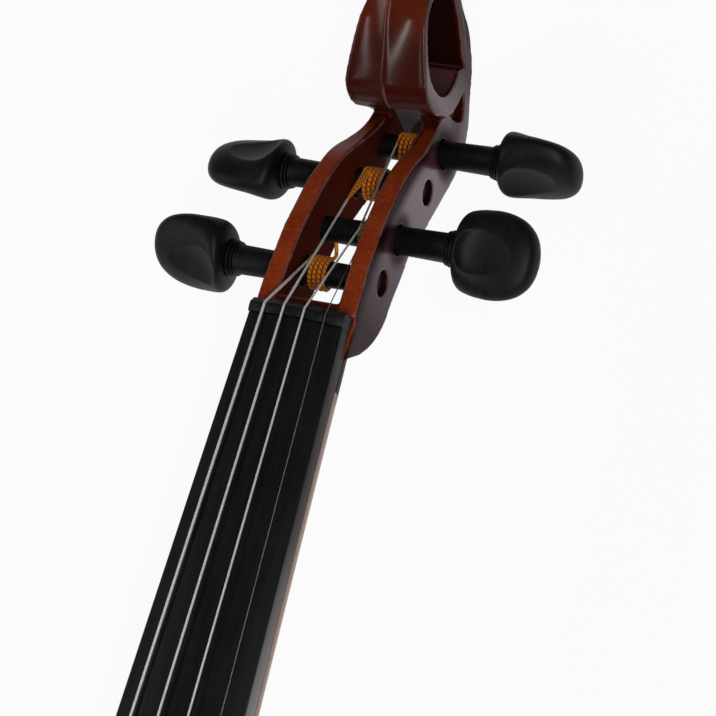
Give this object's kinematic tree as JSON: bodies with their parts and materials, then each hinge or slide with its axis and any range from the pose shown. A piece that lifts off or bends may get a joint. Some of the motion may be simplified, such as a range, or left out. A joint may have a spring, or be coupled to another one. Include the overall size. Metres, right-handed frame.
{
  "type": "electric violin",
  "caption": "Electric violin with a carved open scroll and pegbox, wound silk string ends, solid centre body, open side rims, bridge pickup and fine tuners.",
  "frame": {"origin": "centre of the bounding box on the plane that the back lies on", "axes": "+X towards the treble (E string) side, +Y towards the scroll, +Z out of the front with the strings"},
  "size_m": [0.208, 0.5942, 0.0753],
  "materials": {
    "red_lacquer": "deep red-brown lacquer on wood, very glossy",
    "ebony": "black ebony, satin with fine grain",
    "maple": "bare maple",
    "black_metal": "black plated metal, satin",
    "black_plastic": "black plastic, satin",
    "orange_silk": "orange silk thread wrap",
    "green_silk": "yellow-green silk thread wrap",
    "string_metal": "bright steel and aluminium winding",
    "cork": "cork sheet",
    "clamp_steel": "nickel-plated steel",
    "fibreglass": "green circuit board",
    "battery_case": "plain grey battery case"
  },
  "bodies": {
    "frame": {"neck_and_scroll": "red_lacquer", "fingerboard": "ebony", "nut": "ebony", "body_block": "red_lacquer", "rim_bass": "red_lacquer", "rim_treble": "red_lacquer", "bridge": "maple", "bridge_pickup": "black_metal", "pickup_lead": "black_plastic", "tailpiece": "ebony", "saddle": "ebony", "tail_gut": "black_plastic", "end_button": "ebony", "string_g": "string_metal", "string_d": "string_metal", "string_a": "string_metal", "string_e": "string_metal", "chin_rest": "ebony", "chin_rest_body_cork": "cork", "chin_rest_rim_cork": "cork", "clamp_bracket": "clamp_steel", "clamp_jaw": "clamp_steel", "clamp_cork": "cork", "headphone_jack": "black_metal", "output_jack": "black_metal", "circuit_board": "fibreglass", "back_cover": "black_plastic", "cover_screw_1": "black_metal", "cover_screw_2": "black_metal", "cover_screw_3": "black_metal", "cover_screw_4": "black_metal"},
    "peg_g_turn": {"peg_g": "ebony", "winding_g": "orange_silk"},
    "tuner_g_stem": {"tuner_stem_g": "black_metal"},
    "tuner_g_knob": {"tuner_knob_g": "black_metal"},
    "tuner_g_lever": {"tuner_lever_g": "black_metal"},
    "peg_d_turn": {"peg_d": "ebony", "winding_d": "orange_silk"},
    "tuner_d_stem": {"tuner_stem_d": "black_metal"},
    "tuner_d_knob": {"tuner_knob_d": "black_metal"},
    "tuner_d_lever": {"tuner_lever_d": "black_metal"},
    "peg_a_turn": {"peg_a": "ebony", "winding_a": "orange_silk"},
    "tuner_a_stem": {"tuner_stem_a": "black_metal"},
    "tuner_a_knob": {"tuner_knob_a": "black_metal"},
    "tuner_a_lever": {"tuner_lever_a": "black_metal"},
    "peg_e_turn": {"peg_e": "ebony", "winding_e": "green_silk"},
    "tuner_e_stem": {"tuner_stem_e": "black_metal"},
    "tuner_e_knob": {"tuner_knob_e": "black_metal"},
    "tuner_e_lever": {"tuner_lever_e": "black_metal"},
    "volume": {"volume_knob": "black_plastic"},
    "tone": {"tone_knob": "black_plastic"},
    "power": {"power_switch": "black_plastic"},
    "drawer": {"battery_drawer": "black_plastic", "battery": "battery_case"},
    "barrel_1": {"clamp_barrel_1": "clamp_steel"},
    "barrel_2": {"clamp_barrel_2": "clamp_steel"}
  },
  "joints": [
    {"name": "peg_g_hinge", "type": "hinge", "parent": "frame", "child": "peg_g_turn", "pos_m": [0, 0.21455, 0.0522], "axis": [-1, 0, 0], "range_deg": [-360, 360]},
    {"name": "tuner_g_slide", "type": "slide", "parent": "frame", "child": "tuner_g_stem", "axis": [0, 0, -1], "range_m": [-0.00105, 0.00105]},
    {"name": "tuner_g_screw", "type": "hinge", "parent": "tuner_g_stem", "child": "tuner_g_knob", "pos_m": [-0.0162, -0.20265, 0.05295], "axis": [0, 0, -1], "range_deg": [-540, 540]},
    {"name": "tuner_g_pivot", "type": "hinge", "parent": "frame", "child": "tuner_g_lever", "pos_m": [-0.0162, -0.19265, 0.05295], "axis": [1, 0, 0], "range_deg": [-6.1, 6.1]},
    {"name": "peg_d_hinge", "type": "hinge", "parent": "frame", "child": "peg_d_turn", "pos_m": [0, 0.24365, 0.0384], "axis": [-1, 0, 0], "range_deg": [-360, 360]},
    {"name": "tuner_d_slide", "type": "slide", "parent": "frame", "child": "tuner_d_stem", "axis": [0, 0, -1], "range_m": [-0.00105, 0.00105]},
    {"name": "tuner_d_screw", "type": "hinge", "parent": "tuner_d_stem", "child": "tuner_d_knob", "pos_m": [-0.0054, -0.20265, 0.05585], "axis": [0, 0, -1], "range_deg": [-540, 540]},
    {"name": "tuner_d_pivot", "type": "hinge", "parent": "frame", "child": "tuner_d_lever", "pos_m": [-0.0054, -0.19265, 0.05585], "axis": [1, 0, 0], "range_deg": [-6.1, 6.1]},
    {"name": "peg_a_hinge", "type": "hinge", "parent": "frame", "child": "peg_a_turn", "pos_m": [0, 0.25635, 0.0323], "axis": [-1, 0, 0], "range_deg": [-360, 360]},
    {"name": "tuner_a_slide", "type": "slide", "parent": "frame", "child": "tuner_a_stem", "axis": [0, 0, -1], "range_m": [-0.00105, 0.00105]},
    {"name": "tuner_a_screw", "type": "hinge", "parent": "tuner_a_stem", "child": "tuner_a_knob", "pos_m": [0.0054, -0.20265, 0.05585], "axis": [0, 0, -1], "range_deg": [-540, 540]},
    {"name": "tuner_a_pivot", "type": "hinge", "parent": "frame", "child": "tuner_a_lever", "pos_m": [0.0054, -0.19265, 0.05585], "axis": [1, 0, 0], "range_deg": [-6.1, 6.1]},
    {"name": "peg_e_hinge", "type": "hinge", "parent": "frame", "child": "peg_e_turn", "pos_m": [0, 0.22705, 0.0486], "axis": [-1, 0, 0], "range_deg": [-360, 360]},
    {"name": "tuner_e_slide", "type": "slide", "parent": "frame", "child": "tuner_e_stem", "axis": [0, 0, -1], "range_m": [-0.00105, 0.00105]},
    {"name": "tuner_e_screw", "type": "hinge", "parent": "tuner_e_stem", "child": "tuner_e_knob", "pos_m": [0.0162, -0.20265, 0.05295], "axis": [0, 0, -1], "range_deg": [-540, 540]},
    {"name": "tuner_e_pivot", "type": "hinge", "parent": "frame", "child": "tuner_e_lever", "pos_m": [0.0162, -0.19265, 0.05295], "axis": [1, 0, 0], "range_deg": [-6.1, 6.1]},
    {"name": "volume_turn", "type": "hinge", "parent": "frame", "child": "volume", "pos_m": [0.03, -0.14715, 0.019], "axis": [1, 0, 0], "range_deg": [-150, 150]},
    {"name": "tone_turn", "type": "hinge", "parent": "frame", "child": "tone", "pos_m": [0.03, -0.16815, 0.019], "axis": [1, 0, 0], "range_deg": [-150, 150]},
    {"name": "power_slide", "type": "slide", "parent": "frame", "child": "power", "axis": [0, -1, 0], "range_m": [0, 0.003]},
    {"name": "drawer_slide", "type": "slide", "parent": "frame", "child": "drawer", "axis": [0, -1, 0], "range_m": [0, 0.044]},
    {"name": "barrel_1_turn", "type": "hinge", "parent": "frame", "child": "barrel_1", "pos_m": [-0.09317, -0.26601, 0.03345], "axis": [0, 0, 1], "range_deg": [-180, 180]},
    {"name": "barrel_2_turn", "type": "hinge", "parent": "frame", "child": "barrel_2", "pos_m": [-0.07378, -0.28015, 0.03345], "axis": [0, 0, 1], "range_deg": [-180, 180]}
  ],
  "couplings": [
    {"joint": "tuner_g_screw", "follows": "tuner_g_slide", "rad_per_m": 8976},
    {"joint": "tuner_g_pivot", "follows": "tuner_g_slide", "rad_per_m": 99.6},
    {"joint": "tuner_d_screw", "follows": "tuner_d_slide", "rad_per_m": 8976},
    {"joint": "tuner_d_pivot", "follows": "tuner_d_slide", "rad_per_m": 99.6},
    {"joint": "tuner_a_screw", "follows": "tuner_a_slide", "rad_per_m": 8976},
    {"joint": "tuner_a_pivot", "follows": "tuner_a_slide", "rad_per_m": 99.6},
    {"joint": "tuner_e_screw", "follows": "tuner_e_slide", "rad_per_m": 8976},
    {"joint": "tuner_e_pivot", "follows": "tuner_e_slide", "rad_per_m": 99.6}
  ]
}
